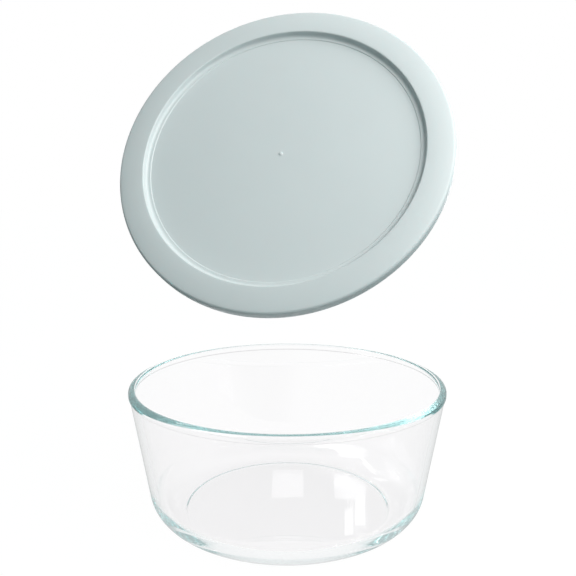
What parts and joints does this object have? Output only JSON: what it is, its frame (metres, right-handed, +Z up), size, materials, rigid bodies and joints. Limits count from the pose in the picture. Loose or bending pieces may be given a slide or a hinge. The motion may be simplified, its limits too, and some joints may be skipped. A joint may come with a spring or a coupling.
{
  "type": "lidded glass bowl",
  "caption": "Round clear-glass storage bowl with flared sides and a rolled rim, and its pale grey-green soft-plastic lid with a recessed panel, shown taken off.",
  "frame": {"origin": "centre of the bowl's flat base, on the surface that it stands on", "axes": "+Z up along the bowl's axis of turning, -Y towards the viewer of the picture, +X to the viewer's right"},
  "size_m": [0.1942, 0.19, 0.3031],
  "materials": {
    "clear_glass": "fire-polished clear pressed glass with a faint teal tint in its thick edges",
    "soft_plastic": "satin moulded polyethylene, pale grey-green"
  },
  "bodies": {
    "bowl": {"glass_bowl": "clear_glass"},
    "lid": {"plastic_lid": "soft_plastic"}
  },
  "joints": [
    {"name": "lid_swing", "type": "hinge", "parent": "bowl", "child": "lid", "pos_m": [-0.0311, -0.1119, 0.1459], "axis": [0.9653, -0.2607, 0.0143], "range_deg": [-60.3, 0]}
  ]
}
